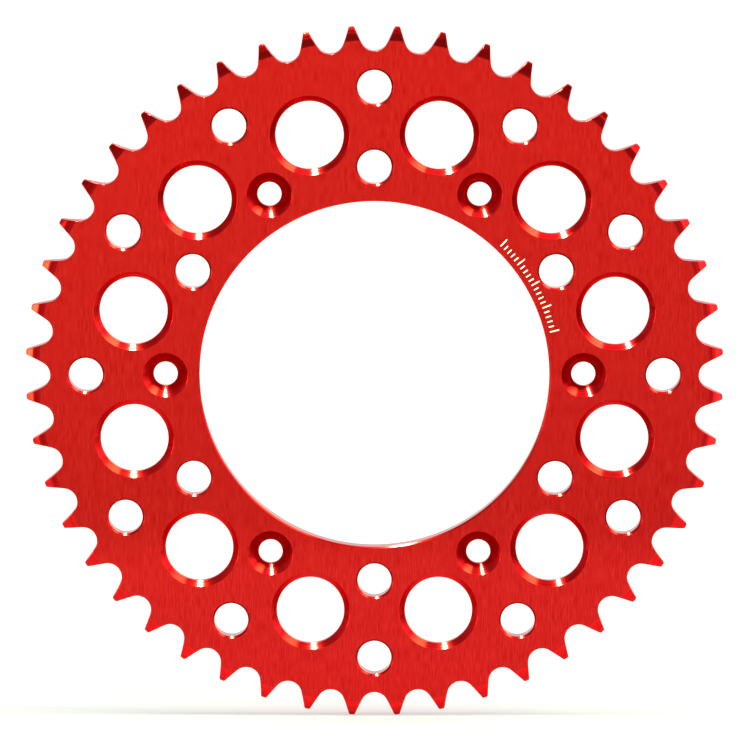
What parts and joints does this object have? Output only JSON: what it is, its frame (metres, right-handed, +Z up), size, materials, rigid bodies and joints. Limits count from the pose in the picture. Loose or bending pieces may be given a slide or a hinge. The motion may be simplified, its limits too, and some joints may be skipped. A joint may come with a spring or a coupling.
{
  "type": "motorcycle rear sprocket",
  "caption": "Flat red anodised aluminium chain sprocket with a large bore, countersunk bolt holes and rings of round lightening holes.",
  "frame": {"origin": "centre of the bore, halfway through the plate's thickness", "axes": "Y is the spin axis: -Y is the outboard face with the countersinks, +Y is the face that seats on the hub; +Z is up through a tooth gap, and a bolt hole lies on +X"},
  "size_m": [0.25, 0.006, 0.25],
  "materials": {
    "red_anodised_aluminium": "satin"
  },
  "bodies": {
    "root": {"sprocket_plate": "red_anodised_aluminium"}
  },
  "joints": []
}
